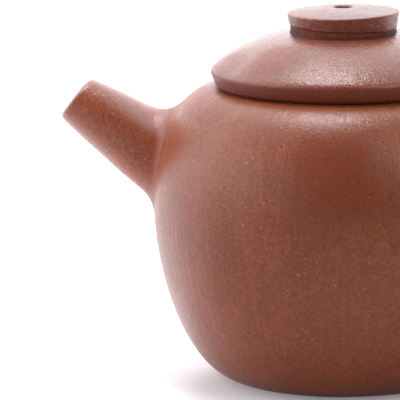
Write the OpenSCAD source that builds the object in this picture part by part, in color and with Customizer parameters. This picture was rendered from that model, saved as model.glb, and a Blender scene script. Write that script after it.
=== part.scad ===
// Small unglazed clay teapot with a lift-off lid, 12 clay members luted together.
// Millimetres. Origin on the pot's axis at the table, +Z up, spout to -X, handle to +X.

/* [Body] */
// Widest diameter of the belly
body_d = 78; // [66:1:94]
// Height of the widest ring above the table
belly_z = 36.6; // [32:0.2:42]
// Height of the mouth, where the lid sits
mouth_z = 60; // [56:0.5:72]
// Diameter of the flat base
base_d = 43.2; // [34:0.2:52]
// Thickness of the clay wall, shoulder and base
wall = 3; // [2.4:0.1:3.8]
// Fullness of the belly above its widest ring
belly_up = 13.2; // [9:0.1:16]
// Fullness of the belly below its widest ring
belly_down = 15.7; // [10:0.1:19]
// Flat run of the shoulder outward from the mouth
shoulder_run = 7.2; // [4:0.1:9]
// Flat run of the underside outward from the base
foot_run = 9.7; // [6:0.1:12]
// Share of the upper curve where the wall ends and the shoulder begins
shoulder_seam = 0.72; // [0.68:0.01:0.82]

/* [Mouth] */
// Diameter of the mouth's bore
mouth_d = 43; // [35:0.5:52]
// Width of the flat seat round the bore
seat_w = 4; // [3:0.1:5]
// Height of the ring that lines the mouth
mouth_ring_h = 4.6; // [4:0.1:6]

/* [Lid] */
// Reach of the lid's edge past the seat
lid_overhang = 1.5; // [1:0.1:2.5]
// Height of the rim band under the dome
rim_h = 3; // [2:0.1:4]
// Inward lean of the rim band from its top to its foot
rim_lean = 0.9; // [0.4:0.1:0.9]
// Open gap under the rim's outer edge
rim_gap = 0.3; // [0.1:0.05:0.6]
// Height of the dome from the rim to the knob's seat
dome_h = 7.9; // [6:0.1:11]
// Rise of the dome's curve at its edge
dome_edge_rise = 2.7; // [1.5:0.1:4]
// Inward run of the dome's curve at its edge
dome_edge_in = 1; // [0.6:0.1:2]
// Outward run of the dome's curve at the knob's seat
dome_top_run = 6; // [4:0.1:8]
// Drop of the dome's curve at the knob's seat
dome_top_drop = 0.4; // [0.2:0.1:2.5]
// Thickness of the dome under the knob
dome_t = 3; // [2.2:0.1:4]
// Level run of the dome's hollow outward from the axis
vault_run = 10; // [6:0.5:12]
// Depth of the flange below the rim
flange_h = 8; // [5:0.5:12]
// Thickness of the flange
flange_t = 2.5; // [1.8:0.1:3.2]
// Bevel on the flange's lower edge
flange_bevel = 0.6; // [0.2:0.1:1]
// Gap all round between the flange and the mouth's bore
lid_clear = 0.3; // [0.15:0.05:0.6]

/* [Knob] */
// Diameter of the knob's top
knob_d = 22.5; // [16:0.5:28]
// Height of the knob's disc at its edge
knob_h = 2.9; // [2:0.1:5]
// Rise of the disc's rounded top from its edge to the axis
knob_crown = 1.1; // [0.4:0.1:2]
// Inward lean of the disc's side from its top to its foot
knob_lean = 0.45; // [0:0.05:0.8]
// Small bevel on the disc's upper edge
knob_bevel = 0.3; // [0.1:0.05:0.6]
// Step from the disc's foot in to its seat band
knob_step = 0.25; // [0.1:0.05:0.6]
// Height of the seat band under the disc
knob_seat_h = 1.3; // [0.8:0.1:2.5]
// Diameter of the steam hole through knob and dome
steam_d = 3.6; // [2.5:0.1:5]

/* [Spout] */
// Height at which the spout's axis meets the belly
spout_root_z = 45.5; // [42:0.1:48]
// Rise of the spout's axis above level, degrees
spout_rise = 34.6; // [25:0.1:42]
// Length of the spout along its axis
spout_len = 20.4; // [14:0.1:28]
// Outer diameter at the tip
spout_tip_d = 10.4; // [9:0.1:13]
// Outer diameter where the axis meets the belly
spout_root_d = 15.8; // [14.8:0.1:19]
// Extra radius of the flare at the root
spout_flare = 0.8; // [0.4:0.1:2]
// Length of the flare along the axis
spout_flare_len = 6; // [3:0.5:9]
// Tilt of the tip's face towards the sky, degrees
spout_cut = 8; // [0:0.5:14]
// Bevel on the tip's outer edge
spout_lip = 0.8; // [0.3:0.1:1]
// Diameter of the channel at the tip
spout_bore_d = 7; // [5.5:0.1:7.4]

/* [Strainer] */
// Diameter of the ball strainer and of its hole in the wall
strainer_d = 14; // [11.6:0.1:14.4]
// Thickness of the strainer's clay
strainer_t = 1.5; // [1.2:0.1:1.8]
// Diameter of the strainer's holes
strainer_hole_d = 2.2; // [1.6:0.1:2.4]
// Least clay between the holes of one ring
strainer_web = 0.7; // [0.4:0.1:1]
// Step of the ball's widest ring inside the wall
strainer_step = 0.6; // [0.2:0.1:1.5]

/* [Handle] */
// Height of the handle's upper root
handle_top_z = 49.5; // [44:0.5:52]
// Height of the handle's lower root
handle_foot_z = 19.5; // [15:0.5:26]
// Reach of the handle's middle line past the belly
handle_reach = 21; // [17:0.5:28]
// Height of the handle's furthest point
handle_out_z = 39.5; // [34:0.5:44]
// Rise of the handle as it leaves its upper root, degrees
handle_rise = 24; // [5:1:35]
// Pull of the handle's curve at its upper root
handle_top_pull = 14; // [8:0.5:18]
// Pull of the handle's curve above its furthest point
handle_arch_up = 13; // [8:0.5:16]
// Pull of the handle's curve below its furthest point
handle_arch_down = 12; // [8:0.5:16]
// Pull of the handle's curve at its lower root
handle_foot_pull = 14; // [8:0.5:18]
// Thickness of the handle at its upper root
handle_top_t = 7.6; // [6:0.1:9]
// Thickness of the handle at its lower root
handle_foot_t = 5.8; // [4.5:0.1:7]
// Width of the handle as a share of its thickness
handle_flat = 1.14; // [1:0.02:1.4]
// Extra radius where the handle flares into the wall
handle_flare = 1.1; // [0:0.1:1.6]
// Share of the handle's length over which the flare fades to a third
handle_fade = 0.07; // [0.04:0.01:0.12]

/* [Hidden] */
$fn = 96;

// Curve steps: lathe profiles, the handle's rings and sides
profile_steps = 20;
handle_rings = 36;
handle_sides = 24;
// Lean of each ring of strainer holes from the ball's pole, degrees
strainer_leans = [34, 66];
// Short overrun that keeps cutting faces apart
over = 0.5;

clay = "#8f5e50";
clay_dark = "#74483c";
clay_warm = "#9c6853";

body_r = body_d / 2;
base_r = base_d / 2;
mouth_r = mouth_d / 2;
seat_r = mouth_r + seat_w;
steam_r = steam_d / 2;

// Point and direction on a cubic curve
function mix3(p, t) = pow(1 - t, 3) * p[0] + 3 * pow(1 - t, 2) * t * p[1]
                    + 3 * (1 - t) * t * t * p[2] + pow(t, 3) * p[3];
function slope3(p, t) = 3 * pow(1 - t, 2) * (p[1] - p[0]) + 6 * (1 - t) * t * (p[2] - p[1])
                      + 3 * t * t * (p[3] - p[2]);
// Point a given depth to the left of the curve's direction
function inset3(p, t, depth) = let (d = slope3(p, t) / norm(slope3(p, t)))
    mix3(p, t) + depth * [-d[1], d[0]];
function curve(p, from, to) = [for (i = [0 : profile_steps])
    mix3(p, from + (to - from) * i / profile_steps)];
function inset_curve(p, from, to, depth) = [for (i = [0 : profile_steps])
    inset3(p, from + (to - from) * i / profile_steps, depth)];

// Outer lines of the pot, from the base up to the mouth
lower_line = [[base_r, 0], [base_r + foot_run, 0], [body_r, belly_z - belly_down], [body_r, belly_z]];
upper_line = [[body_r, belly_z], [body_r, belly_z + belly_up], [seat_r + shoulder_run, mouth_z],
              [seat_r, mouth_z]];
outer_points = concat(curve(lower_line, 0, 1), curve(upper_line, 0, 1));
// Outer radius of the pot at a height
function pot_r(z) = lookup(z, [for (p = outer_points) [p[1], p[0]]]);

lid_r = seat_r + lid_overhang;
rim_top_z = mouth_z + rim_h;
flange_r = mouth_r - lid_clear;
flange_in_r = flange_r - flange_t;
knob_seat_z = rim_top_z + dome_h;
knob_z = knob_seat_z + knob_seat_h;
knob_r = knob_d / 2;
knob_foot_r = knob_r - knob_lean;
knob_seat_r = knob_foot_r - knob_step;
dome_line = [[lid_r, rim_top_z], [lid_r - dome_edge_in, rim_top_z + dome_edge_rise],
             [knob_seat_r + dome_top_run, knob_seat_z - dome_top_drop], [knob_seat_r, knob_seat_z]];
vault_z = knob_seat_z - dome_t;
vault_line = [[steam_r, vault_z], [vault_run, vault_z],
              [flange_in_r, rim_top_z + dome_edge_rise], [flange_in_r, rim_top_z]];

spout_root = [-pot_r(spout_root_z), 0, spout_root_z];
strainer_in_r = strainer_d / 2 - strainer_t;
spout_bore_root_d = 2 * strainer_in_r;
// Depth along the spout's axis that surely reaches the cavity
spout_sink = 3 * wall;
strainer_depth = wall + strainer_step;
// Holes that a ring has room for
function ring_holes(lean) = floor(180 / asin((strainer_hole_d + strainer_web) / 2
    / (strainer_in_r * sin(lean))));

handle_out = [body_r + handle_reach, handle_out_z];
handle_top = [pot_r(handle_top_z) - wall / 2, handle_top_z];
handle_foot = [pot_r(handle_foot_z) - wall / 2, handle_foot_z];
handle_upper = [handle_top, handle_top + handle_top_pull * [cos(handle_rise), sin(handle_rise)],
                handle_out + [0, handle_arch_up], handle_out];
handle_lower = [handle_out, handle_out - [0, handle_arch_down],
                handle_foot + [handle_foot_pull, 0], handle_foot];

// Everything inside the pot's outer line
module pot_core() {
    rotate_extrude() polygon(concat([[0, 0]], outer_points, [[0, mouth_z]]));
}

// Places its children on the spout's axis, with z = 0 at the belly and the tip at z = spout_len
module on_spout() {
    translate(spout_root) rotate([0, spout_rise - 90, 0]) children();
}

module strainer_hole() {
    on_spout() translate([0, 0, -2 * spout_sink]) cylinder(d = strainer_d, h = 3 * spout_sink);
}

module base_disc() {
    color(clay_dark) cylinder(r = base_r, h = wall);
}

module body_wall() {
    outer = concat(curve(lower_line, 0, 1), curve(upper_line, 0, shoulder_seam));
    inner = concat(inset_curve(upper_line, shoulder_seam, 0, wall), inset_curve(lower_line, 1, 0, wall));
    color(clay) difference() {
        rotate_extrude() polygon(concat(outer, inner));
        strainer_hole();
    }
}

module shoulder_disc() {
    outer = curve(upper_line, shoulder_seam, 1);
    inner = inset_curve(upper_line, 1, shoulder_seam, wall);
    color(clay_warm) difference() {
        rotate_extrude() polygon(concat(outer, inner));
        strainer_hole();
    }
}

module mouth_ring() {
    color(clay_dark) translate([0, 0, mouth_z - mouth_ring_h]) difference() {
        cylinder(r = seat_r, h = mouth_ring_h);
        translate([0, 0, -over]) cylinder(r = mouth_r, h = mouth_ring_h + 2 * over);
    }
}

module spout() {
    root_r = spout_root_d / 2;
    tip_r = spout_tip_d / 2;
    taper = (root_r - tip_r) / spout_len;
    bore_taper = (spout_bore_root_d - spout_bore_d) / 2 / spout_len;
    // Raw length past the belly, of which the tilted face cuts off the end
    raw_len = spout_len + tip_r;
    half_flare = spout_flare_len / 2;
    flare_line = [[root_r + spout_flare, -half_flare], [root_r, 0],
                  [root_r - taper * half_flare, half_flare],
                  [root_r - taper * spout_flare_len, spout_flare_len]];
    color(clay_warm) difference() {
        on_spout() intersection() {
            difference() {
                rotate_extrude() polygon(concat([[0, -spout_sink], [root_r + spout_flare, -spout_sink]],
                    curve(flare_line, 0, 1), [[tip_r - taper * tip_r, raw_len], [0, raw_len]]));
                translate([0, 0, -spout_sink]) cylinder(
                    r1 = spout_bore_root_d / 2 + bore_taper * spout_sink,
                    r2 = spout_bore_d / 2 - bore_taper * (tip_r + over),
                    h = raw_len + spout_sink + over);
            }
            spout_end(tip_r, raw_len);
        }
        pot_core();
    }
}

// Keeps what lies below the tip's tilted face, and bevels its lip
module spout_end(tip_r, raw_len) {
    translate([0, 0, spout_len]) rotate([0, spout_cut, 0]) {
        translate([0, 0, -2 * spout_lip])
            cylinder(r1 = tip_r + spout_lip, r2 = tip_r - spout_lip, h = 2 * spout_lip);
        translate([0, 0, -2 * (spout_lip + raw_len)]) cylinder(r = 2 * spout_root_d, h = 2 * raw_len);
    }
}

module strainer() {
    ball_r = strainer_d / 2;
    color(clay_dark) intersection() {
        on_spout() translate([0, 0, -strainer_depth]) difference() {
            rotate_extrude() {
                intersection() {
                    difference() {
                        circle(r = ball_r);
                        circle(r = strainer_in_r);
                    }
                    translate([0, -ball_r]) square(ball_r);
                }
                translate([strainer_in_r, 0]) square([strainer_t, 2 * strainer_depth]);
            }
            strainer_ray(0, 0);
            for (lean = strainer_leans, i = [1 : ring_holes(lean)])
                strainer_ray(360 * i / ring_holes(lean), lean);
        }
        pot_core();
    }
}

// A hole through the ball's shell, aimed from its middle
module strainer_ray(turn, lean) {
    rotate([0, 0, turn]) rotate([0, 180 - lean, 0])
        translate([0, 0, strainer_in_r - over / 2])
            cylinder(d = strainer_hole_d, h = strainer_t + over);
}

// Middle line of the handle, from the upper root (0) to the lower root (1)
function handle_at(s) = s < 0.5 ? mix3(handle_upper, 2 * s) : mix3(handle_lower, 2 * s - 1);
function handle_dir(s) = let (d = s < 0.5 ? slope3(handle_upper, 2 * s) : slope3(handle_lower, 2 * s - 1))
    d / norm(d);
// Half thickness along the handle, with a short flare at both roots
function handle_half(s) = (handle_top_t + (handle_foot_t - handle_top_t) * s) / 2
    + handle_flare * (exp(-s / handle_fade) + exp((s - 1) / handle_fade));
function handle_ring(s) = let (c = handle_at(s), d = handle_dir(s), h = handle_half(s))
    [for (k = [0 : handle_sides - 1]) let (a = 360 * k / handle_sides)
        [c[0] - d[1] * h * cos(a), handle_flat * h * sin(a), c[1] + d[0] * h * cos(a)]];

module handle() {
    n = handle_sides;
    points = [for (j = [0 : handle_rings]) each handle_ring(j / handle_rings)];
    last = handle_rings * n;
    sides = [for (j = [0 : handle_rings - 1], k = [0 : n - 1]) let (a = j * n + k, b = j * n + (k + 1) % n)
        each [[a, b, b + n], [a, b + n, a + n]]];
    caps = [for (k = [1 : n - 2]) each [[0, k + 1, k], [last, last + k, last + k + 1]]];
    color(clay_warm) difference() {
        polyhedron(points, concat(sides, caps));
        pot_core();
    }
}

module lid_rim() {
    foot_r = lid_r - rim_lean;
    color(clay_dark) rotate_extrude() polygon([
        [flange_in_r, mouth_z], [seat_r - rim_gap, mouth_z], [foot_r, mouth_z + rim_gap],
        [lid_r, rim_top_z], [flange_in_r, rim_top_z]]);
}

module lid_flange() {
    color(clay) rotate_extrude() polygon([
        [flange_in_r, mouth_z - flange_h], [flange_r - flange_bevel, mouth_z - flange_h],
        [flange_r, mouth_z - flange_h + flange_bevel], [flange_r, mouth_z], [flange_in_r, mouth_z]]);
}

module lid_dome() {
    color(clay_warm) rotate_extrude() polygon(concat(
        curve(dome_line, 0, 1), [[steam_r, knob_seat_z]], curve(vault_line, 0, 1)));
}

module knob_seat() {
    color(clay_dark) translate([0, 0, knob_seat_z]) difference() {
        cylinder(r = knob_seat_r, h = knob_seat_h);
        translate([0, 0, -over]) cylinder(r = steam_r, h = knob_seat_h + 2 * over);
    }
}

module knob() {
    edge_r = knob_r - knob_bevel;
    edge_z = knob_z + knob_h;
    color(clay) rotate_extrude() polygon(concat(
        [[steam_r, knob_z], [knob_foot_r, knob_z], [knob_r, edge_z - knob_bevel]],
        [for (i = [0 : profile_steps]) let (r = edge_r + (steam_r - edge_r) * i / profile_steps)
            [r, edge_z + knob_crown * (1 - pow(r / edge_r, 2))]]));
}

base_disc();
body_wall();
shoulder_disc();
mouth_ring();
spout();
strainer();
handle();
lid_rim();
lid_flange();
lid_dome();
knob_seat();
knob();
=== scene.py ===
import bisect
import math
from functools import partial
import bmesh
import bpy
from mathutils import Matrix, Vector, noise
from mathutils.bvhtree import BVHTree


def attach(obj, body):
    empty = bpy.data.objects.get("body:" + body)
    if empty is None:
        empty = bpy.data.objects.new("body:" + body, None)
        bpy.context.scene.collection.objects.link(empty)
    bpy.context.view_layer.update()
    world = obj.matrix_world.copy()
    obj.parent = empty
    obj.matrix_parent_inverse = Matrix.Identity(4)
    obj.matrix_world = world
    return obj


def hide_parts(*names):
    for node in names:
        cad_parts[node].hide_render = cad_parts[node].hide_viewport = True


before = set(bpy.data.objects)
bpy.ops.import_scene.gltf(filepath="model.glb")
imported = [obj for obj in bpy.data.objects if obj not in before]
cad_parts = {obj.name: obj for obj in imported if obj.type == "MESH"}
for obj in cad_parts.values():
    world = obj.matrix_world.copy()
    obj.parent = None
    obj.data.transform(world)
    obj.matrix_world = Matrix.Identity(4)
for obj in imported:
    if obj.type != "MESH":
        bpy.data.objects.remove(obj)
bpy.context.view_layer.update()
mm = 0.001
print("frame loaded:", len(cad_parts), "nodes")


# curves and outlines, all in mm as (radius, height)

def bend(points, steps):
    # a curve from the first of four points to the last, pulled by the two between
    a, b, c, d = (Vector(p) for p in points)
    line = []
    for i in range(steps + 1):
        t = i / steps
        u = 1 - t
        line.append(a * u ** 3 + b * (3 * u * u * t) + c * (3 * u * t * t) + d * t ** 3)
    return line


def roundOff(before, corner, after, steps):
    line = []
    for i in range(steps + 1):
        t = i / steps
        line.append(before * (1 - t) ** 2 + corner * (2 * t * (1 - t)) + after * t * t)
    return line


def inset(line, depth):
    moved = []
    for i, p in enumerate(line):
        run = (line[min(i + 1, len(line) - 1)] - line[max(i - 1, 0)]).normalized()
        moved.append(p + Vector((-run.y, run.x)) * depth)
    return moved


def ease(corners, steps=5):
    # corners are (radius, height, rounding)
    line = []
    for i, (r, z, cut) in enumerate(corners):
        here = Vector((r, z))
        if cut == 0:
            line.append(here)
            continue
        before = here + (Vector(corners[i - 1][:2]) - here).normalized() * cut
        after = here + (Vector(corners[(i + 1) % len(corners)][:2]) - here).normalized() * cut
        line += roundOff(before, here, after, steps)
    return line


# modelling steps shared by the pieces

def selectOnly(piece):
    bpy.ops.object.select_all(action="DESELECT")
    piece.select_set(True)
    bpy.context.view_layer.objects.active = piece


def selectWhere(piece, test):
    # in edit mode: selects the points that pass the test
    bpy.ops.mesh.select_mode(type="VERT")
    bpy.ops.mesh.select_all(action="DESELECT")
    mesh = bmesh.from_edit_mesh(piece.data)
    for v in mesh.verts:
        v.select = test(v.co / mm)
    mesh.select_flush(True)
    bmesh.update_edit_mesh(piece.data)


def startPiece(name):
    # names the primitive that was just added and opens it for editing
    piece = bpy.context.active_object
    piece.name = piece.data.name = name
    bpy.ops.object.mode_set(mode="EDIT")
    return piece


def tidyMesh(piece, sharpAngle=38, mergeWithin=0.002):
    selectOnly(piece)
    bpy.ops.object.mode_set(mode="EDIT")
    bpy.ops.mesh.select_all(action="SELECT")
    bpy.ops.mesh.remove_doubles(threshold=mergeWithin * mm)
    bpy.ops.mesh.delete_loose()
    bpy.ops.mesh.select_all(action="SELECT")
    bpy.ops.mesh.normals_make_consistent(inside=False)
    bpy.ops.object.mode_set(mode="OBJECT")
    bpy.ops.object.shade_smooth_by_angle(angle=math.radians(sharpAngle))


def turnOnWheel(name, outline, steps=160):
    # draws a closed outline point by point, then spins it round the pot's axis
    bpy.ops.object.select_all(action="DESELECT")
    bpy.ops.mesh.primitive_plane_add(size=mm)
    piece = startPiece(name)
    bpy.ops.mesh.merge(type="CENTER")
    bpy.ops.transform.translate(value=(outline[0].x * mm, 0, outline[0].y * mm))
    for a, b in zip(outline, outline[1:] + outline[:1]):
        step = ((b.x - a.x) * mm, 0, (b.y - a.y) * mm)
        bpy.ops.mesh.extrude_region_move(TRANSFORM_OT_translate={"value": step})
    bpy.ops.mesh.select_all(action="SELECT")
    bpy.ops.mesh.spin(steps=steps, angle=2 * math.pi, center=(0, 0, 0), axis=(0, 0, 1))
    bpy.ops.object.mode_set(mode="OBJECT")
    tidyMesh(piece)
    return piece


def pullStrips(name, stripAt, sides, closeEnds):
    # one ring drawn as a circle, pulled out ring by ring along strips round it, then closed at its ends
    rings = list(zip(*(stripAt(2 * math.pi * k / sides) for k in range(sides))))
    bpy.ops.object.select_all(action="DESELECT")
    bpy.ops.mesh.primitive_circle_add(vertices=sides, radius=mm)
    piece = startPiece(name)
    mesh = bmesh.from_edit_mesh(piece.data)
    seat = mesh.verts.layers.int.new("seat")
    for k, v in enumerate(mesh.verts):
        v[seat] = k
        v.co = rings[0][k] * mm
    bmesh.update_edit_mesh(piece.data)
    for ring in rings[1:]:
        bpy.ops.mesh.extrude_region_move()
        mesh = bmesh.from_edit_mesh(piece.data)
        seat = mesh.verts.layers.int["seat"]
        for v in mesh.verts:
            if v.select:
                v.co = ring[v[seat]] * mm
        bmesh.update_edit_mesh(piece.data)
    mesh.verts.layers.int.remove(seat)
    bmesh.update_edit_mesh(piece.data)
    bpy.ops.mesh.select_all(action="DESELECT")
    bpy.ops.mesh.select_non_manifold()
    closeEnds()
    bpy.ops.object.mode_set(mode="OBJECT")
    tidyMesh(piece)
    return piece


def applyModifiers(piece):
    selectOnly(piece)
    for modifier in list(piece.modifiers):
        bpy.ops.object.modifier_apply(modifier=modifier.name)


def handUneven(piece, waves, middle=0.7):
    # waves are (size, depth) in mm, mostly pushed inwards
    for size, depth in waves:
        cloud = bpy.data.textures.new(piece.name + "Waves", "CLOUDS")
        cloud.noise_scale = size * mm
        cloud.noise_depth = 1
        push = piece.modifiers.new("waves", "DISPLACE")
        push.texture = cloud
        push.texture_coords = "LOCAL"
        push.strength = depth * mm
        push.mid_level = middle
    applyModifiers(piece)


def finishPiece(piece, body, finish, slotName, *nodes):
    piece.data.materials.clear()
    piece.data.materials.append(finish)
    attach(piece, body)
    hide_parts(*nodes)
    print("made", piece.name, len(piece.data.polygons), "faces")


# nodes of the finishes and of the studio

def emptyTree(owner):
    owner.use_nodes = True
    owner.node_tree.nodes.clear()
    return owner.node_tree


def feed(socket, value):
    # another node's output is linked, anything else is set on the socket itself
    if isinstance(value, bpy.types.NodeSocket):
        socket.id_data.links.new(value, socket)
    elif socket.type == "RGBA":
        socket.default_value = (*value, 1)
    else:
        socket.default_value = value


def newNode(tree, kind, values=None, **options):
    made = tree.nodes.new(kind)
    for key, value in options.items():
        setattr(made, key, value)
    for key, value in (values or {}).items():
        feed(made.inputs[key], value)
    return made


def mathOf(tree, kind, *values, **options):
    return newNode(tree, "ShaderNodeMath", dict(enumerate(values)), operation=kind, **options).outputs[0]


def vectorOf(tree, kind, *values):
    made = newNode(tree, "ShaderNodeVectorMath", dict(enumerate(values)), operation=kind)
    return made.outputs["Value" if kind in ("DISTANCE", "LENGTH", "DOT_PRODUCT") else "Vector"]


def rangeOf(tree, value, low, high, to=(0.0, 1.0), kind="SMOOTHSTEP"):
    values = {0: value, 1: low, 2: high, 3: to[0], 4: to[1]}
    return newNode(tree, "ShaderNodeMapRange", values, interpolation_type=kind).outputs[0]


def fadeStops(ramp, stops):
    # a new ramp has two marks
    marks = ramp.color_ramp.elements
    for i, (position, grey) in enumerate(stops):
        mark = marks[i] if i < 2 else marks.new(1)
        mark.position, mark.color = position, (grey, grey, grey, 1)


# clay finishes, with scales per metre
clayLook = dict(
    clay=(0.26, 0.0505, 0.011), warmClay=(0.31, 0.066, 0.0155), paleSand=(0.52, 0.16, 0.07),
    pore=(0.12, 0.022, 0.008), tan=(0.56, 0.21, 0.08), dark=(0.03, 0.022, 0.024), halo=(0.42, 0.12, 0.035),
    cloudScale=75, mottleScale=1150, grainScale=2500, peelScale=800, streakScale=900, facetScale=140,
    stainScale=300, mottleTint=0.42, streakTint=0.22, sandTint=0.45, poreTint=0.6,
    pepperShare=0.5, tanShare=0.6, darkShare=0.4,  # share of the cells that hold a speck
    grainDeep=0.07, peelDeep=0.06, streakDeep=0.06, facetDeep=0.15, pitDeep=0.02,  # mm
    rough=0.42, roughSwing=(-0.06, 0.08), gloss=1.4, coat=0.75, coatRough=0.3,
    sheen=0.1, sheenRough=0.35, sheenTint=(1, 0.55, 0.4),
    paintedLightAndStains=(),  # (where, start, end, colour, amount), in mm: patches of painted light, painted shade and stains
    matt=())  # places with less coat: (where, start, end, share left), in mm
# the noise of each layer as (detail, roughness), and the range most of it lies in
noiseLayers = dict(cloud=(5, 0.6), mottle=(4, 0.62), grain=(2, 0.65), peel=(3, 0.6), streak=(3, 0.6),
                   facet=(1, 0.5), stain=(3, 0.55))
noiseRange = (0.3, 0.7)
# specks as (cells per metre, share, size in the cell, colour, amount); the last kind is pitted
speckKinds = ((760, "pepperShare", 0.11, "pore", 0.7), (560, "tanShare", 0.115, "tan", 0.7),
              (210, "darkShare", 0.10, "halo", 0.6), (210, "darkShare", 0.06, "dark", 0.9))
speckForm = dict(smallest=0.45, softEdge=0.5)  # shares of the size
streakForm = dict(radius=0.039, rise=0.05)  # in metres, and the share of the height that counts


def clayFinish(name, look):
    finish = bpy.data.materials.new(name)
    tree = emptyTree(finish)
    place = newNode(tree, "ShaderNodeTexCoord").outputs["Object"]
    work, vectorWork, spread = (partial(tool, tree) for tool in (mathOf, vectorOf, rangeOf))
    flat = vectorWork("MULTIPLY", place, (1, 1, 0))

    def noiseOf(layer, where=place):
        detail, rough = noiseLayers[layer]
        values = {"Vector": where, "Scale": look[layer + "Scale"], "Detail": detail, "Roughness": rough}
        return newNode(tree, "ShaderNodeTexNoise", values).outputs["Fac"]

    def tint(amount, under, over):
        return newNode(tree, "ShaderNodeMix", {0: amount, 6: under, 7: over}, data_type="RGBA").outputs[2]

    def grains(scale, share, size):
        # scattered grains: a share of the cells holds one, each of its own size
        cells = newNode(tree, "ShaderNodeTexVoronoi", {"Vector": place, "Scale": scale})
        parts = newNode(tree, "ShaderNodeSeparateColor", {0: cells.outputs["Color"]})
        here = work("GREATER_THAN", parts.outputs[0], 1 - share)
        reach = work("MULTIPLY_ADD", parts.outputs[1], size, size * speckForm["smallest"])
        near = work("SUBTRACT", reach, cells.outputs["Distance"])
        return work("MULTIPLY", spread(near, 0, size * speckForm["softEdge"]), here)

    def placed(where):
        # in metres: how far from a point given in mm, or one of the named distances
        if isinstance(where, tuple):
            return vectorWork("DISTANCE", place, Vector(where) * mm)
        if where == "fromAxis":
            return vectorWork("LENGTH", flat)
        if where in ("overSpout", "fromSpout"):
            fromRoot = vectorWork("SUBTRACT", place, spoutRoot * mm)
            if where == "overSpout":
                return vectorWork("DOT_PRODUCT", fromRoot, spoutUp)
            return vectorWork("LENGTH", vectorWork("CROSS_PRODUCT", fromRoot, spoutAxis))
        parts = newNode(tree, "ShaderNodeSeparateXYZ", {0: place})
        return parts.outputs[2] if where == "height" else work("ABSOLUTE", parts.outputs[0])

    # streaks run up the pot along its sides, as the smoothing tool does
    rise = vectorWork("MULTIPLY", place, (0, 0, streakForm["rise"]))
    around = vectorWork("NORMALIZE", flat)
    sweep = vectorWork("MULTIPLY_ADD", around, (streakForm["radius"], streakForm["radius"], 0), rise)
    cloud, mottle, grain, peel = (noiseOf(layer) for layer in ("cloud", "mottle", "grain", "peel"))
    streak, facet = (noiseOf(layer, sweep) for layer in ("streak", "facet"))

    colour = tint(spread(cloud, *noiseRange), look["clay"], look["warmClay"])
    washes = (  # a layer from low to high, how much it brings at each end, and of which colour
        (mottle, 0.3, 0.55, (look["mottleTint"], 0.0), "pore"),
        (mottle, 0.52, 0.75, (0.0, look["mottleTint"]), "halo"),
        (streak, 0.35, 0.7, (look["streakTint"], 0.0), "pore"),
        (grain, 0.5, 0.8, (0.0, look["sandTint"]), "paleSand"),
        (grain, 0.2, 0.5, (look["poreTint"], 0.0), "pore"))
    for layer, low, high, amounts, over in washes:
        colour = tint(spread(layer, low, high, amounts), colour, look[over])
    for scale, share, size, over, amount in speckKinds:
        speck = grains(scale, look[share], size)
        colour = tint(work("MULTIPLY", speck, amount), colour, look[over])
    # patches of colour: most are painted light or painted shade, a few are stains
    for where, start, end, patchColour, amount in look["paintedLightAndStains"]:
        wide = (end - start) * mm
        wobble = work("MULTIPLY_ADD", noiseOf("stain"), wide, -wide / 2)
        far = work("ADD", placed(where), wobble)
        colour = tint(spread(far, start * mm, end * mm, (0.0, amount)), colour, patchColour)

    height = work("MULTIPLY", speck, -look["pitDeep"])
    deeps = ((grain, "grainDeep"), (peel, "peelDeep"), (streak, "streakDeep"), (facet, "facetDeep"))
    for layer, deep in deeps:
        height = work("MULTIPLY_ADD", layer, look[deep], height)
    bump = newNode(tree, "ShaderNodeBump", {"Strength": 1.0, "Distance": mm, "Height": height}).outputs[0]

    coat = look["coat"]
    for where, start, end, left in look["matt"]:
        coat = work("MULTIPLY", coat, spread(placed(where), start * mm, end * mm, (1.0, left)))
    shader = newNode(tree, "ShaderNodeBsdfPrincipled", {
        "Base Color": colour, "IOR": look["gloss"], "Normal": bump, "Coat Normal": bump,
        "Roughness": spread(peel, *noiseRange, [look["rough"] + swing for swing in look["roughSwing"]]),
        "Coat Weight": coat, "Coat Roughness": look["coatRough"], "Sheen Weight": look["sheen"],
        "Sheen Roughness": look["sheenRough"], "Sheen Tint": look["sheenTint"]})
    newNode(tree, "ShaderNodeOutputMaterial", {"Surface": shader.outputs[0]})
    return finish


# pot: belly and shoulder, base, mouth

potForm = dict(
    bellyRadius=38.95, bellyHeight=36.6, baseRadius=21.6, mouthHeight=60, seatRadius=25.5, wall=3, lift=0.03,
    footRun=10.3, bellyDown=15.7, bellyUp=13.2, shoulderRun=7.8, waves=((16, 0.16), (4.5, 0.035)),
    lowerSteps=44, upperSteps=40, wheelSteps=200)
lowerLine = bend(((potForm["baseRadius"], potForm["lift"]),
                  (potForm["baseRadius"] + potForm["footRun"], potForm["lift"]),
                  (potForm["bellyRadius"], potForm["bellyHeight"] - potForm["bellyDown"]),
                  (potForm["bellyRadius"], potForm["bellyHeight"])), potForm["lowerSteps"])
upperLine = bend(((potForm["bellyRadius"], potForm["bellyHeight"]),
                  (potForm["bellyRadius"], potForm["bellyHeight"] + potForm["bellyUp"]),
                  (potForm["seatRadius"] + potForm["shoulderRun"], potForm["mouthHeight"]),
                  (potForm["seatRadius"], potForm["mouthHeight"])), potForm["upperSteps"])
potLine = lowerLine + upperLine[1:]
potBody = turnOnWheel("potBody", potLine + inset(potLine, potForm["wall"])[::-1], potForm["wheelSteps"])
handUneven(potBody, potForm["waves"])
potSkin = BVHTree.FromObject(potBody, bpy.context.evaluated_depsgraph_get())


def potRadius(z):
    for a, b in zip(potLine, potLine[1:]):
        if a.y <= z <= b.y:
            return a.x + (b.x - a.x) * (z - a.y) / max(b.y - a.y, 1e-9)  # also where the line is level
    return 0.0


def onPot(point):
    # nearest place on the pot's skin, and the way out of it
    place, out, _, _ = potSkin.find_nearest(point * mm)
    return place / mm, out


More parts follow.
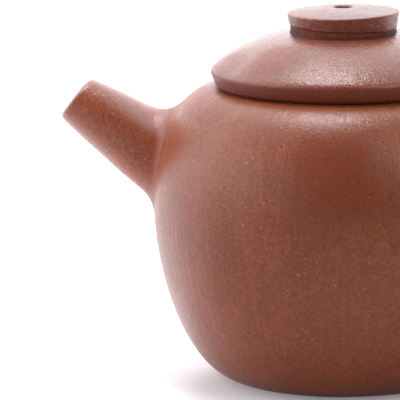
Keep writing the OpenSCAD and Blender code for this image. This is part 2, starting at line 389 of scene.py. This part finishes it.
def meetsPot(pointAt, inside, outside, halvings=40):
    # how far along a line the pot's skin lies
    for _ in range(halvings):
        half = (inside + outside) / 2
        p = pointAt(half)
        if math.hypot(p.x, p.y) > potRadius(p.z):
            outside = half
        else:
            inside = half
    return (inside + outside) / 2


jointForm = dict(pull=0.66, edgeRun=0.45, edgeSink=0.035, rootRun=0.3, rootSink=0.9)


def lutedRoot(lift, meet, away, spreadBy, steps):
    # points of a smoothed joint: from a piece's side, past the crease, out onto the pot and into its wall
    skin, out = onPot(meet)
    along = (away - out * away.dot(out)).normalized()
    edge, edgeOut = onPot(skin + along * spreadBy)
    back = skin - edge
    back = (back - edgeOut * back.dot(edgeOut)).normalized()
    pull = jointForm["pull"]
    line = bend((lift, lift.lerp(meet, pull), edge + back * spreadBy * pull, edge), steps)
    line.append(edge - back * jointForm["edgeRun"] - edgeOut * jointForm["edgeSink"])
    line.append(edge - back * jointForm["rootRun"] - edgeOut * jointForm["rootSink"])
    return line


baseForm = dict(radius=21.5, thickness=3, lift=0.02, hollow=0.4, hollowRadius=16, hollowSlope=1.6,
                hollowRound=1.0, standRound=0.6, edgeRound=0.25, topRound=0.2, wheelSteps=128)
baseDisc = turnOnWheel("baseDisc", ease((
    (0, baseForm["hollow"], 0), (baseForm["hollowRadius"], baseForm["hollow"], baseForm["hollowRound"]),
    (baseForm["hollowRadius"] + baseForm["hollowSlope"], baseForm["lift"], baseForm["standRound"]),
    (baseForm["radius"], baseForm["lift"], baseForm["edgeRound"]),
    (baseForm["radius"], baseForm["thickness"], baseForm["topRound"]),
    (0, baseForm["thickness"], 0))), baseForm["wheelSteps"])
mouthForm = dict(bore=21.5, seat=potForm["seatRadius"], top=potForm["mouthHeight"], height=4.6,
                 footRounds=(0.5, 0.3), topRounds=(0.12, 0.35))
mouthFoot = mouthForm["top"] - mouthForm["height"]
mouthRing = turnOnWheel("mouthRing", ease((
    (mouthForm["bore"], mouthFoot, mouthForm["footRounds"][0]),
    (mouthForm["seat"], mouthFoot, mouthForm["footRounds"][1]),
    (mouthForm["seat"], mouthForm["top"], mouthForm["topRounds"][0]),
    (mouthForm["bore"], mouthForm["top"], mouthForm["topRounds"][1]))))

# spout: a straight taper with a rounded lip, luted on with a hollow joint

spoutForm = dict(
    root=(-37.84, 0, 45.7), rise=34.6, length=20.65, tipRadius=4.93, swell=0.19, belly=0.0022, tipTilt=4.3,
    boreTip=3.9, boreRoot=5.5, boreSink=0.5, boreStop=0.6, waves=0.1, waveSize=7,
    rootLength=(6.1, 2.0, 3.4), rootSpread=(5.0, 1.6, 3.4),  # top, sides, underneath
    lipAcross=(0.65, 0.3, 0.85), lipDown=(1.9, 0.4, 1.5), lipIn=0.25, lipInDown=0.5,
    search=(-14, 12), sides=112, boreSteps=8, lipInSteps=4, lipSteps=8, sideSteps=14, rootSteps=12,
    holeRadius=7.0, holeDepth=24, holeBack=4, holeSides=96)
spoutRoot = Vector(spoutForm["root"])
spoutRise = math.radians(spoutForm["rise"])
spoutAxis = Vector((-math.cos(spoutRise), 0, math.sin(spoutRise)))
spoutUp = Vector((math.sin(spoutRise), 0, math.cos(spoutRise)))
spoutSide = Vector((0, -1, 0))


def spoutAround(turn):
    return spoutUp * math.cos(turn) + spoutSide * math.sin(turn)


def spoutOuter(far, turn):
    left = spoutForm["length"] - far
    radius = spoutForm["tipRadius"] + spoutForm["swell"] * left - spoutForm["belly"] * left * left
    place = spoutRoot + spoutAxis * far
    radius += spoutForm["waves"] * noise.noise((place + spoutAround(turn) * radius) / spoutForm["waveSize"])
    return place + spoutAround(turn) * radius


def spoutInner(far, turn):
    share = far / spoutForm["length"]
    radius = spoutForm["boreRoot"] + (spoutForm["boreTip"] - spoutForm["boreRoot"]) * share
    return spoutRoot + spoutAxis * far + spoutAround(turn) * radius


def byTurn(values, turn):
    c = math.cos(turn)
    top, side, under = values
    return side + (top - side) * max(c, 0) ** 2 + (under - side) * max(-c, 0) ** 2


def spoutStrip(turn):
    # one strip of the spout, from inside the channel over the lip and down to the joint
    tilt = math.tan(math.radians(spoutForm["tipTilt"])) * math.cos(turn)
    tipOuter = spoutForm["length"] - tilt * spoutForm["tipRadius"]
    tipInner = spoutForm["length"] - tilt * spoutForm["boreTip"]
    boreFoot = meetsPot(lambda far: spoutInner(far, turn), *spoutForm["search"]) - spoutForm["boreSink"]
    boreRun = tipInner - spoutForm["boreStop"] - boreFoot
    steps = spoutForm["boreSteps"]
    strip = [spoutInner(boreFoot + boreRun * i / steps, turn) for i in range(steps + 1)]
    inCorner, outCorner = spoutInner(tipInner, turn), spoutOuter(tipOuter, turn)
    across = (outCorner - inCorner).normalized()
    sideTop = tipOuter - byTurn(spoutForm["lipDown"], turn)
    strip += roundOff(spoutInner(tipInner - spoutForm["lipInDown"], turn), inCorner,
                      inCorner + across * spoutForm["lipIn"], spoutForm["lipInSteps"])
    strip += roundOff(outCorner - across * byTurn(spoutForm["lipAcross"], turn), outCorner,
                      spoutOuter(sideTop, turn), spoutForm["lipSteps"])
    meet = meetsPot(lambda far: spoutOuter(far, turn), *spoutForm["search"])
    lift = meet + byTurn(spoutForm["rootLength"], turn)
    steps = spoutForm["sideSteps"]
    strip += [spoutOuter(sideTop + (lift - sideTop) * i / steps, turn) for i in range(1, steps)]
    strip += lutedRoot(spoutOuter(lift, turn), spoutOuter(meet, turn), spoutAround(turn),
                       byTurn(spoutForm["rootSpread"], turn), spoutForm["rootSteps"])
    return strip


spout = pullStrips("spoutTube", spoutStrip, spoutForm["sides"], bpy.ops.mesh.bridge_edge_loops)

# the hole behind the spout, where the strainer sits
bpy.ops.object.select_all(action="DESELECT")
bpy.ops.mesh.primitive_cylinder_add(
    vertices=spoutForm["holeSides"], radius=spoutForm["holeRadius"] * mm,
    depth=spoutForm["holeDepth"] * mm,
    location=(spoutRoot - spoutAxis * spoutForm["holeBack"]) * mm, rotation=(0, spoutRise - math.pi / 2, 0))
holeCutter = bpy.context.active_object
cut = potBody.modifiers.new("hole", "BOOLEAN")
cut.operation, cut.solver, cut.object = "DIFFERENCE", "EXACT", holeCutter
applyModifiers(potBody)
bpy.data.objects.remove(holeCutter)
tidyMesh(potBody)

# handle: an ear-shaped loop, thinner towards its foot

handleForm = dict(
    topHeight=49.5, footHeight=19.5, outer=(59.9, 39.5), rise=24, topPull=14, archUp=13, archDown=12,
    footPull=14, topThick=7.6, footThick=5.8, flat=1.14, sink=1.5, waves=0.16, waveSize=9,
    rootLength=(5.0, 4.2, 5.0), rootSpread=(3.6, 3.0, 3.6),  # outside, sides, inside of the loop
    search=14.0, sides=56, curveSteps=240, middleSteps=48, rootSteps=9)
handleTop = Vector((potRadius(handleForm["topHeight"]) - handleForm["sink"], handleForm["topHeight"]))
handleFoot = Vector((potRadius(handleForm["footHeight"]) - handleForm["sink"], handleForm["footHeight"]))
handleOut = Vector(handleForm["outer"])
handleRise = math.radians(handleForm["rise"])
topPull = Vector((math.cos(handleRise), math.sin(handleRise))) * handleForm["topPull"]
handleLine = bend((handleTop, handleTop + topPull,
                   handleOut + Vector((0, handleForm["archUp"])), handleOut), handleForm["curveSteps"])
handleLine += bend((handleOut, handleOut - Vector((0, handleForm["archDown"])),
                    handleFoot + Vector((handleForm["footPull"], 0)), handleFoot),
                   handleForm["curveSteps"])[1:]
handleFar = [0.0]
for a, b in zip(handleLine, handleLine[1:]):
    handleFar.append(handleFar[-1] + (b - a).length)
handleLength = handleFar[-1]


def handlePoint(far, turn):
    far = min(max(far, 0.0), handleLength)
    i = min(bisect.bisect_right(handleFar, far) - 1, len(handleLine) - 2)
    share = (far - handleFar[i]) / (handleFar[i + 1] - handleFar[i])
    middle = handleLine[i].lerp(handleLine[i + 1], share)
    run = (handleLine[min(i + 2, len(handleLine) - 1)] - handleLine[max(i - 1, 0)]).normalized()
    thinner = handleForm["footThick"] - handleForm["topThick"]
    half = (handleForm["topThick"] + thinner * far / handleLength) / 2
    half += handleForm["waves"] * noise.noise(Vector((middle.x, turn, middle.y)) / handleForm["waveSize"])
    side = handleForm["flat"] * half * math.sin(turn)
    return Vector((middle.x - run.y * half * math.cos(turn), side, middle.y + run.x * half * math.cos(turn)))


def handleStrip(turn):
    # one strip of the handle, from its upper joint to its lower one
    ends = []
    search = handleForm["search"]
    for start, stop, sign in ((0.0, search, 1), (handleLength, handleLength - search, -1)):
        meet = meetsPot(lambda far: handlePoint(far, turn), start, stop)
        lift = meet + sign * byTurn(handleForm["rootLength"], turn)
        around = handlePoint(meet, turn) - handlePoint(meet, turn + math.pi)
        root = lutedRoot(handlePoint(lift, turn), handlePoint(meet, turn), around.normalized(),
                         byTurn(handleForm["rootSpread"], turn), handleForm["rootSteps"])
        ends.append((lift, root))
    (topLift, topRoot), (footLift, footRoot) = ends
    steps = handleForm["middleSteps"]
    middle = [handlePoint(topLift + (footLift - topLift) * i / steps, turn) for i in range(1, steps)]
    return topRoot[::-1] + middle + footRoot


fillEnds = partial(bpy.ops.mesh.fill_holes, sides=0)
handle = pullStrips("handleLoop", handleStrip, handleForm["sides"], fillEnds)

# the pot's own clays
potClay = clayFinish("potClay", dict(
    clayLook, matt=(((-30, -12, 60), 18, 8, 0.47),),
    # painted light: a warmer, brighter orange round the spout's root, where light bounces between the spout
    # and the pot
    paintedLightAndStains=((spoutForm["root"], 19, 10, (0.4, 0.09, 0.019), 0.45),
            # painted shade: a darker, deeper orange on the front of the belly, where it faces the dark side
            # of the surround
            ((0.8, -37, 47), 16, 5, (0.19, 0.033, 0.005), 0.6))))
plainLook = dict(clayLook, streakTint=0.0, streakDeep=0.0, facetDeep=0.0)
# painted light: the spout's clay is lighter than the pot's, as the spout stands out in more light than the
# belly; the handle has a clay of its own
handLook = dict(plainLook, clay=(0.34, 0.067, 0.018), warmClay=(0.395, 0.086, 0.0245), sandTint=0.6,
                poreTint=0.75, mottleScale=1250, gloss=1.6, coat=0.95)
spoutClay = clayFinish("spoutClay", dict(
    handLook, matt=(("fromSpout", 6.6, 8.2, 0.25),),
    # painted sheen: paler pinkish grey on the spout's upper side
    paintedLightAndStains=(("overSpout", 3.2, 5.6, (0.46, 0.23, 0.19), 0.65),
            # towards the joint the spout's painted light fades: its clay turns to about the pot's own, a
            # little darker, as painted shade in the hollow of the joint
            ("fromSpout", 8.0, 9.4, (0.24, 0.046, 0.013), 0.75),
            # painted shade: near black inside the spout's bore, towards the tip
            ("fromSpout", 4.35, 4.0, (0.06, 0.014, 0.007), 0.9))))
handleClay = clayFinish("handleClay", dict(
    handLook, clay=(0.29, 0.056, 0.014), warmClay=(0.34, 0.072, 0.019), gloss=1.5))
innerClay = clayFinish("innerClay", dict(
    plainLook, clay=(0.15, 0.032, 0.013), warmClay=(0.185, 0.043, 0.018), rough=0.62, coat=0.0))

finishPiece(potBody, "pot", potClay, "body_clay", "body_wall", "shoulder_disc")
finishPiece(baseDisc, "pot", potClay, "body_clay", "base_disc")
finishPiece(mouthRing, "pot", innerClay, "inner_clay", "mouth_ring")
finishPiece(spout, "pot", spoutClay, "spout_clay", "spout")
finishPiece(handle, "pot", handleClay, "spout_clay", "handle")
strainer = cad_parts["strainer"]
strainer.data.materials.clear()
strainer.data.materials.append(innerClay)
print("pot ready")

# lid: dome with its band, flange, and the disc knob on its seat

lidForm = dict(
    radius=27.2, bottom=potForm["mouthHeight"], bandTop=63.3, lean=1.1, gap=0.5, seat=25.2, under=18.7,
    hole=1.8, domeTop=70.9, domeFoot=10.6, edgeIn=1.0, edgeRise=2.0, edgeRound=0.7, footRound=0.35,
    topRun=6.5, vaultTop=67.9, vaultRun=10, waves=((14, 0.14), (4.0, 0.05)),
    domeSteps=36, edgeSteps=4, vaultSteps=20, wheelSteps=192)
domeLine = bend(((lidForm["radius"], lidForm["bandTop"]),
                 (lidForm["radius"] - lidForm["edgeIn"], lidForm["bandTop"] + lidForm["edgeRise"]),
                 (lidForm["domeFoot"] + lidForm["topRun"], lidForm["domeTop"]),
                 (lidForm["domeFoot"], lidForm["domeTop"])), lidForm["domeSteps"])
domeLine = domeLine[lidForm["edgeSteps"]:]  # the rounded edge takes the first steps' place
vaultLine = bend(((lidForm["hole"], lidForm["vaultTop"]), (lidForm["vaultRun"], lidForm["vaultTop"]),
                  (lidForm["under"], lidForm["bandTop"] + lidForm["edgeRise"]),
                  (lidForm["under"], lidForm["bandTop"])), lidForm["vaultSteps"])
lidBand = ease((
    (lidForm["under"], lidForm["bottom"], 0), (lidForm["seat"], lidForm["bottom"], 0),
    (lidForm["radius"] - lidForm["lean"], lidForm["bottom"] + lidForm["gap"], lidForm["footRound"]),
    (lidForm["radius"], lidForm["bandTop"], lidForm["edgeRound"]), (*domeLine[0], 0)))[:-1]
lidMiddle = Vector((lidForm["hole"], lidForm["domeTop"]))
lidTop = turnOnWheel("lidTop", vaultLine + lidBand + domeLine + [lidMiddle], lidForm["wheelSteps"])
handUneven(lidTop, lidForm["waves"])

flangeForm = dict(outer=21.2, inner=lidForm["under"], top=lidForm["bottom"], height=8, bevel=0.7,
                  innerRound=0.5)
flangeFoot = flangeForm["top"] - flangeForm["height"]
lidFlange = turnOnWheel("lidFlange", ease((
    (flangeForm["inner"], flangeFoot, flangeForm["innerRound"]),
    (flangeForm["outer"], flangeFoot, flangeForm["bevel"]),
    (flangeForm["outer"], flangeForm["top"], 0), (flangeForm["inner"], flangeForm["top"], 0))))

knobForm = dict(
    radius=11.5, foot=11.05, bottom=72.2, rim=75.0, crown=1.05, rimRound=0.45, hole=lidForm["hole"],
    holeEdge=0.3, holeDip=0.35, footRound=0.15, sideOut=0.2, sideUp=1.3, sideRound=0.3, topSteps=12,
    sideTilt=0.8, sideAbove=74, footTilt=-2.4, footBelow=73, waves=((6, 0.26), (2.2, 0.05)))
knobTop = []
topEdge = knobForm["radius"] - knobForm["rimRound"]
for k in range(1, knobForm["topSteps"] + 1):
    r = topEdge - (topEdge - knobForm["hole"] - knobForm["holeEdge"]) * k / knobForm["topSteps"]
    knobTop.append(Vector((r, knobForm["rim"] + knobForm["crown"] * (1 - (r / knobForm["radius"]) ** 2))))
knobTop.append(Vector((knobForm["hole"], knobForm["rim"] + knobForm["crown"] - knobForm["holeDip"])))
knobWall = ease((
    (knobForm["hole"], knobForm["bottom"], 0), (knobForm["foot"], knobForm["bottom"], knobForm["footRound"]),
    (knobForm["foot"] + knobForm["sideOut"], knobForm["bottom"] + knobForm["sideUp"], knobForm["sideRound"]),
    (knobForm["radius"], knobForm["rim"], knobForm["rimRound"]), (*knobTop[0], 0)))[:-1]
knob = turnOnWheel("knobDisc", knobWall + knobTop)

seatForm = dict(radius=10.75, bottom=70.85, sink=0.3, flare=0.3, rise=0.35, footRound=0.3, topRound=0.2,
                tiltAbove=71.6, waves=((5, 0.1),))
seatFoot = seatForm["bottom"] - seatForm["sink"]
knobSeat = turnOnWheel("knobSeat", ease((
    (knobForm["hole"], seatFoot, 0), (seatForm["radius"] + seatForm["flare"], seatFoot, 0),
    (seatForm["radius"], seatForm["bottom"] + seatForm["rise"], seatForm["footRound"]),
    (seatForm["radius"], knobForm["bottom"], seatForm["topRound"]),
    (knobForm["hole"], knobForm["bottom"], 0))))


def tiltSome(piece, test, angle, height):
    # turns part of a piece sideways about a line through its axis at a height
    selectOnly(piece)
    bpy.ops.object.mode_set(mode="EDIT")
    selectWhere(piece, test)
    middle = (0, 0, height * mm)
    bpy.ops.transform.rotate(value=math.radians(angle), orient_axis="Y", center_override=middle)
    bpy.ops.object.mode_set(mode="OBJECT")


tiltSome(knob, lambda p: p.z > knobForm["sideAbove"], knobForm["sideTilt"], knobForm["rim"])
tiltSome(knob, lambda p: p.z < knobForm["footBelow"], knobForm["footTilt"], knobForm["bottom"])
tiltSome(knobSeat, lambda p: p.z > seatForm["tiltAbove"], knobForm["footTilt"], knobForm["bottom"])
handUneven(knob, knobForm["waves"])
handUneven(knobSeat, seatForm["waves"])

# the lid's clays
lidClay = clayFinish("lidClay", dict(
    plainLook, clay=(0.21, 0.034, 0.0104), warmClay=(0.249, 0.0443, 0.0138), tanShare=0.25, mottleTint=0.3,
    gloss=1.5, coat=0.95, coatRough=0.18, peelDeep=0.09, grainDeep=0.1,
    matt=(((-12.5, -17, 67), 8, 3.5, 0.45), ((-24, -8, 65), 8, 3, 0.45), ("height", 63.7, 63.2, 0.3)),
    # painted shade: the band under the dome's edge is darker
    paintedLightAndStains=(("height", 63.4, 63.0, (0.13, 0.022, 0.007), 0.55),
            # painted shade: a dark ring on the dome round and under the knob's foot
            ("fromAxis", 12.4, 11.8, (0.07, 0.025, 0.015), 0.85))))
knobClay = clayFinish("knobClay", dict(
    plainLook, clay=(0.21, 0.038, 0.0105), warmClay=(0.25, 0.05, 0.015), gloss=1.5, coat=0.6, coatRough=0.25,
    sandTint=0.6, poreTint=0.8, mottleTint=0.5, peelDeep=0.16,
    # painted sheen: the top of the knob is paler and greyer
    paintedLightAndStains=(("height", 74.9, 75.3, (0.22, 0.135, 0.135), 0.65),)))
seatClay = clayFinish("seatClay", dict(
    plainLook, clay=(0.19, 0.038, 0.012), warmClay=(0.23, 0.05, 0.016), rough=0.7, coat=0.0, sheen=0.0,
    # painted shade: darker towards the seat's foot, under the knob's rim; the second patch makes it slate
    # grey towards the left and right
    stainScale=500, paintedLightAndStains=(("height", 71.5, 70.8, (0.075, 0.02, 0.01), 0.8),
                            ("toSides", 6.5, 9.5, (0.07, 0.055, 0.062), 0.45))))

finishPiece(lidTop, "lid", lidClay, "lid_clay", "lid_dome", "lid_rim")
finishPiece(lidFlange, "lid", innerClay, "inner_clay", "lid_flange")
finishPiece(knob, "lid", knobClay, "knob_clay", "knob")
finishPiece(knobSeat, "lid", seatClay, "knob_clay", "knob_seat")
print("lid ready")

# camera at the photo's place: a long lens a little above the pot

cameraForm = dict(place=(-29.436, -903.056, 204.758), turn=4.2, down=10.556, roll=-0.648, lens=405, sensor=36,
                  clip=(0.05, 50))
cameraTurn = Matrix.Rotation(math.radians(cameraForm["turn"]), 4, "Z")
cameraData = bpy.data.cameras.new("studioCamera")
cameraData.lens, cameraData.sensor_width = cameraForm["lens"], cameraForm["sensor"]
cameraData.clip_start, cameraData.clip_end = cameraForm["clip"]
studioCamera = bpy.data.objects.new("studioCamera", cameraData)
bpy.context.scene.collection.objects.link(studioCamera)
studioCamera.matrix_world = (cameraTurn @ Matrix.Translation(Vector(cameraForm["place"]) * mm)
                             @ Matrix.Rotation(math.radians(90 - cameraForm["down"]), 4, "X")
                             @ Matrix.Rotation(math.radians(cameraForm["roll"]), 4, "Z"))
bpy.context.scene.camera = studioCamera

# white floor, in metres: its glow is weaker in the shadow round the pot

floorForm = dict(
    size=6, colour=0.8, tint=(1, 0.975, 1.015), glow=(0.2, 0.42), shadowAt=(0.008, -0.02, 0),
    shadowReach=(0.036, 0.05), glowFade=(-0.02, 0.04), frontReach=0.25,
    frontShades=((-0.02, 0.75), (0.04, 0.32), (0.12, 0.28), (0.22, 0.04)))  # towards the camera, shade
bpy.ops.object.select_all(action="DESELECT")
bpy.ops.mesh.primitive_plane_add(size=floorForm["size"])
floor = bpy.context.active_object
floor.name = "floor"
floorFinish = bpy.data.materials.new("floorFinish")
floorTree = emptyTree(floorFinish)
rays = newNode(floorTree, "ShaderNodeLightPath").outputs
spot = newNode(floorTree, "ShaderNodeTexCoord").outputs["Object"]
ahead = vectorOf(floorTree, "DOT_PRODUCT", spot, cameraTurn @ Vector((0, -1, 0)))
# the glow is for the camera, and behind the pot for what is mirrored in it too
mirrored = mathOf(floorTree, "ADD", rays["Is Glossy Ray"], rays["Is Transmission Ray"])
behind = rangeOf(floorTree, ahead, *floorForm["glowFade"], (1.0, 0.0), "LINEAR")
seenGlow = mathOf(floorTree, "MULTIPLY_ADD", mirrored, behind, rays["Is Camera Ray"], use_clamp=True)
shadowFar = vectorOf(floorTree, "DISTANCE", spot, cameraTurn @ Vector(floorForm["shadowAt"]))
lightUp = rangeOf(floorTree, shadowFar, *floorForm["shadowReach"], floorForm["glow"])
glow = newNode(floorTree, "ShaderNodeEmission", {
    "Color": floorForm["tint"], "Strength": mathOf(floorTree, "MULTIPLY", seenGlow, lightUp)})
# mirrored in the pot's front, the floor towards the camera is dark like the camera's side of the surround
reach = floorForm["frontReach"]
frontShade = newNode(floorTree, "ShaderNodeValToRGB", {
    0: rangeOf(floorTree, ahead, -reach, reach, kind="LINEAR")})
fadeStops(frontShade, [((far + reach) / (2 * reach), grey) for far, grey in floorForm["frontShades"]])
shade = newNode(floorTree, "ShaderNodeMix", {
    0: rays["Is Glossy Ray"], 2: floorForm["colour"], 3: frontShade.outputs[0]}, data_type="FLOAT")
tinted = newNode(floorTree, "ShaderNodeVectorMath", {
    0: floorForm["tint"], "Scale": shade.outputs[0]}, operation="SCALE")
paper = newNode(floorTree, "ShaderNodeBsdfDiffuse", {"Color": tinted.outputs[0]})
both = newNode(floorTree, "ShaderNodeAddShader", {0: glow.outputs[0], 1: paper.outputs[0]})
newNode(floorTree, "ShaderNodeOutputMaterial", {"Surface": both.outputs[0]})
floor.data.materials.append(floorFinish)

# white surround, dark towards the camera

skyForm = dict(
    level=2.0, tint=(1, 0.985, 1.01), darkSide=(0.43, -0.809, 0.4),
    surround=((-1, 1.8), (-0.4, 1.95), (0.0, 1.7), (0.3, 0.9), (0.6, 0.28), (0.8, 0.08), (0.95, 0.02)))
world = bpy.data.worlds.new("studio")
bpy.context.scene.world = world
worldTree = emptyTree(world)
way = newNode(worldTree, "ShaderNodeTexCoord").outputs["Generated"]
seen = newNode(worldTree, "ShaderNodeLightPath").outputs["Is Camera Ray"]
toDark = vectorOf(worldTree, "DOT_PRODUCT", way, cameraTurn @ Vector(skyForm["darkSide"]))
fade = newNode(worldTree, "ShaderNodeValToRGB", {0: rangeOf(worldTree, toDark, -1, 1, kind="LINEAR")})
fadeStops(fade, [((front + 1) / 2, light / skyForm["level"]) for front, light in skyForm["surround"]])
strength = newNode(worldTree, "ShaderNodeMix", {
    0: seen, 2: mathOf(worldTree, "MULTIPLY", fade.outputs[0], skyForm["level"]), 3: 1.0}, data_type="FLOAT")
white = newNode(worldTree, "ShaderNodeMix", {0: seen, 6: skyForm["tint"], 7: (1, 1, 1)}, data_type="RGBA")
sky = newNode(worldTree, "ShaderNodeBackground", {
    "Color": white.outputs[2], "Strength": strength.outputs[0]})
newNode(worldTree, "ShaderNodeOutputWorld", {"Surface": sky.outputs[0]})

# soft boxes overhead and at the right: name, watts, size and place in metres
softBoxes = (("top", 3.25, (0.3, 0.3), (-0.098, 0.04, 0.87)),
             ("right", 1.65, (0.4, 0.6), (0.51, -0.53, 0.58)))
boxAim = Vector((0, 0, 0.04))
for boxName, power, size, boxAt in softBoxes:
    boxData = bpy.data.lights.new(boxName + "Box", "AREA")
    boxData.shape, boxData.energy = "RECTANGLE", power
    boxData.size, boxData.size_y = size
    softBox = bpy.data.objects.new(boxName + "Box", boxData)
    bpy.context.scene.collection.objects.link(softBox)
    boxPlace = cameraTurn @ Vector(boxAt)
    boxFacing = (boxAim - boxPlace).to_track_quat("-Z", "Y")
    softBox.matrix_world = Matrix.Translation(boxPlace) @ boxFacing.to_matrix().to_4x4()
bpy.context.scene.view_settings.view_transform = "Standard"
print("camera, floor and light set")
